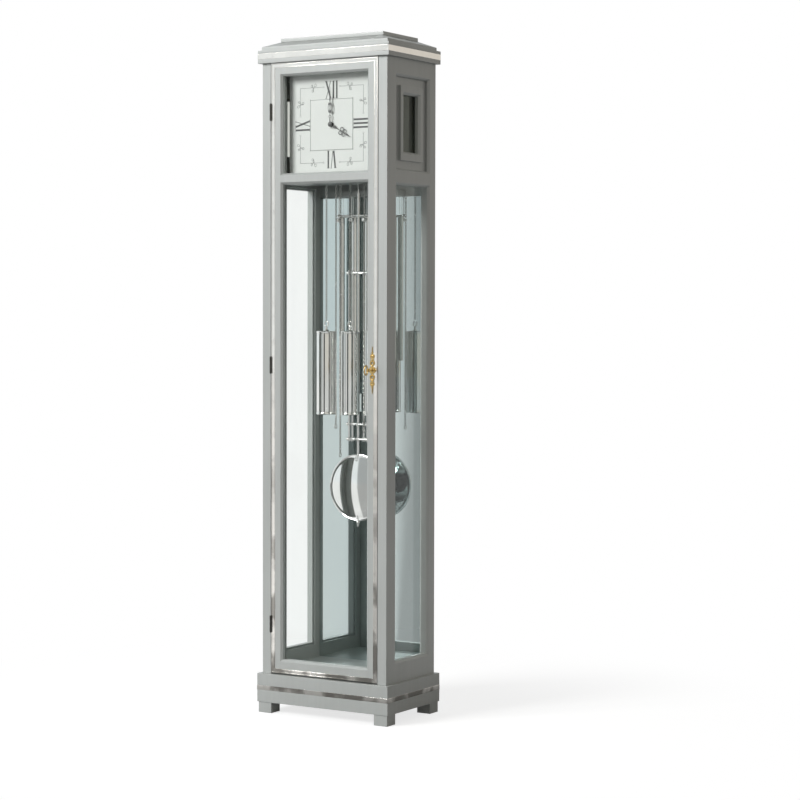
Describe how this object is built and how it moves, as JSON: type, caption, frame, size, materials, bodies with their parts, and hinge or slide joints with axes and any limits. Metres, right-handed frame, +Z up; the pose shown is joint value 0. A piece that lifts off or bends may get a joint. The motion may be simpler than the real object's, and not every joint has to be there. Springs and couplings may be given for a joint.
{
  "type": "longcase clock",
  "caption": "Tall glazed longcase clock with a hinged door, square dial, chain-driven weights, gridiron pendulum and hanging chime tubes.",
  "frame": {"origin": "centre of the bounding box on the floor under the feet", "axes": "+Z up, -Y is the front with the door and dial, +X is the clock's right-hand side as seen from the front"},
  "size_m": [0.459, 0.327, 2],
  "materials": {
    "lacquer": "silver-grey lacquer, glossy",
    "lacquer_inside": "grey lacquer, satin",
    "bright_steel": "polished",
    "polished_steel": "polished",
    "mirror": "silvered glass",
    "pane": "clear",
    "hinge_steel": "blued",
    "brass": "polished",
    "dial_white": "painted, matte",
    "hand_grey": "dark grey, satin",
    "arbor_steel": "bright"
  },
  "bodies": {
    "case": {"back_mirror": "mirror", "back_panel": "lacquer_inside", "case_floor": "lacquer_inside", "case_strips": "bright_steel", "case_top": "lacquer_inside", "chain_centre": "polished_steel", "chain_left": "polished_steel", "chain_right": "polished_steel", "chime_hammers": "brass", "chime_tubes": "polished_steel", "cornice": "lacquer", "crown_moulding": "lacquer", "dial_plate": "dial_white", "feet": "lacquer", "hinge_case_leaves": "hinge_steel", "hinge_pins": "hinge_steel", "hood_panels": "lacquer", "hood_panes": "pane", "movement_plates": "brass", "movement_posts": "brass", "plinth": "lacquer", "seat_board": "lacquer_inside", "side_frame_left": "lacquer", "side_frame_right": "lacquer", "side_glass": "pane", "top_slab": "lacquer", "tube_rack": "lacquer_inside"},
    "door": {"door_frame": "lacquer", "door_strip": "bright_steel", "door_glass": "pane", "door_beads": "lacquer", "hinge_door_leaves": "hinge_steel", "lock_body": "hinge_steel", "escutcheon": "brass"},
    "key": {"key": "brass", "lock_tongue": "brass"},
    "minute_arbor": {"centre_wheel": "brass", "cannon_pinion": "brass", "minute_hand": "hand_grey", "hand_nut": "hand_grey"},
    "hour_wheel": {"hour_wheel": "brass", "hour_hand": "hand_grey"},
    "minute_wheel": {"minute_wheel": "brass"},
    "intermediate_wheel": {"intermediate_wheel": "brass"},
    "great_wheel": {"great_wheel": "brass"},
    "third_wheel": {"third_wheel": "brass"},
    "escape_wheel": {"escape_wheel": "brass"},
    "anchor": {"anchor_crutch": "arbor_steel"},
    "pendulum": {"pendulum_rod": "polished_steel", "pendulum_bob": "polished_steel", "rating_nut": "polished_steel"},
    "sprocket_left": {"sprocket_left": "arbor_steel"},
    "weight_left": {"weight_left": "polished_steel"},
    "chain_end_left": {"chain_end_left": "polished_steel"},
    "sprocket_centre": {"sprocket_centre": "arbor_steel"},
    "weight_centre": {"weight_centre": "polished_steel"},
    "chain_end_centre": {"chain_end_centre": "polished_steel"},
    "sprocket_right": {"sprocket_right": "arbor_steel"},
    "weight_right": {"weight_right": "polished_steel"},
    "chain_end_right": {"chain_end_right": "polished_steel"}
  },
  "joints": [
    {"name": "door_hinge", "type": "hinge", "parent": "case", "child": "door", "pos_m": [-0.18625, -0.1219, 1.022], "axis": [0, 0, -1], "range_deg": [0, 120]},
    {"name": "key_turn", "type": "hinge", "parent": "door", "child": "key", "pos_m": [0.1685, -0.0835, 1.026], "axis": [0, 1, 0], "range_deg": [0, 90]},
    {"name": "minute_turn", "type": "hinge", "parent": "case", "child": "minute_arbor", "pos_m": [0, -0.0145, 1.74], "axis": [0, 1, 0], "continuous": true},
    {"name": "hour_turn", "type": "hinge", "parent": "case", "child": "hour_wheel", "pos_m": [0, -0.0565, 1.74], "axis": [0, 1, 0], "continuous": true},
    {"name": "minute_wheel_turn", "type": "hinge", "parent": "case", "child": "minute_wheel", "pos_m": [0.02263, -0.0485, 1.71737], "axis": [0, 1, 0], "continuous": true},
    {"name": "intermediate_turn", "type": "hinge", "parent": "case", "child": "intermediate_wheel", "pos_m": [-0.025, -0.0065, 1.70846], "axis": [0, 1, 0], "continuous": true},
    {"name": "great_turn", "type": "hinge", "parent": "case", "child": "great_wheel", "pos_m": [-0.017, 0.0065, 1.67029], "axis": [0, 1, 0], "continuous": true},
    {"name": "third_turn", "type": "hinge", "parent": "case", "child": "third_wheel", "pos_m": [0.02959, -0.0255, 1.76425], "axis": [0, 1, 0], "continuous": true},
    {"name": "escape_turn", "type": "hinge", "parent": "case", "child": "escape_wheel", "pos_m": [0, 0.0355, 1.781], "axis": [0, 1, 0], "continuous": true},
    {"name": "pendulum_swing", "type": "hinge", "parent": "case", "child": "pendulum", "pos_m": [0, 0.0685, 1.81211], "axis": [0, 1, 0], "range_deg": [-2.5, 2.5]},
    {"name": "anchor_rock", "type": "hinge", "parent": "case", "child": "anchor", "pos_m": [0, 0.0365, 1.81211], "axis": [0, 1, 0], "range_deg": [-2.5, 2.5]},
    {"name": "weight_left_drop", "type": "slide", "parent": "case", "child": "weight_left", "axis": [0, 0, 1], "range_m": [-0.69, 0.39], "deforming": ["chain_left"]},
    {"name": "chain_end_left_rise", "type": "slide", "parent": "case", "child": "chain_end_left", "axis": [0, 0, 1], "range_m": [-0.395, 0.695]},
    {"name": "sprocket_left_turn", "type": "hinge", "parent": "case", "child": "sprocket_left", "pos_m": [-0.067, 0.0225, 1.645], "axis": [0, 1, 0], "range_deg": [-2331, 1320]},
    {"name": "weight_centre_drop", "type": "slide", "parent": "case", "child": "weight_centre", "axis": [0, 0, 1], "range_m": [-0.69, 0.39], "deforming": ["chain_centre"]},
    {"name": "chain_end_centre_rise", "type": "slide", "parent": "case", "child": "chain_end_centre", "axis": [0, 0, 1], "range_m": [-0.395, 0.695]},
    {"name": "sprocket_centre_turn", "type": "hinge", "parent": "case", "child": "sprocket_centre", "pos_m": [-0.017, 0.0225, 1.67029], "axis": [0, 1, 0], "range_deg": [-1320, 2331]},
    {"name": "weight_right_drop", "type": "slide", "parent": "case", "child": "weight_right", "axis": [0, 0, 1], "range_m": [-0.69, 0.39], "deforming": ["chain_right"]},
    {"name": "chain_end_right_rise", "type": "slide", "parent": "case", "child": "chain_end_right", "axis": [0, 0, 1], "range_m": [-0.395, 0.695]},
    {"name": "sprocket_right_turn", "type": "hinge", "parent": "case", "child": "sprocket_right", "pos_m": [0.067, 0.0225, 1.645], "axis": [0, 1, 0], "range_deg": [-1320, 2331]}
  ],
  "couplings": [
    {"joint": "hour_turn", "follows": "minute_turn", "ratio": 0.083333},
    {"joint": "minute_wheel_turn", "follows": "minute_turn", "ratio": -0.33333},
    {"joint": "intermediate_turn", "follows": "minute_turn", "ratio": -0.2069},
    {"joint": "great_turn", "follows": "minute_turn", "ratio": 0.051724},
    {"joint": "third_turn", "follows": "minute_turn", "ratio": -7.5},
    {"joint": "escape_turn", "follows": "minute_turn", "ratio": 56.25},
    {"joint": "anchor_rock", "follows": "pendulum_swing", "ratio": 1},
    {"joint": "chain_end_left_rise", "follows": "weight_left_drop", "ratio": -1},
    {"joint": "sprocket_left_turn", "follows": "weight_left_drop", "rad_per_m": 58.824},
    {"joint": "chain_end_centre_rise", "follows": "weight_centre_drop", "ratio": -1},
    {"joint": "sprocket_centre_turn", "follows": "weight_centre_drop", "rad_per_m": -58.824},
    {"joint": "chain_end_right_rise", "follows": "weight_right_drop", "ratio": -1},
    {"joint": "sprocket_right_turn", "follows": "weight_right_drop", "rad_per_m": -58.824}
  ]
}
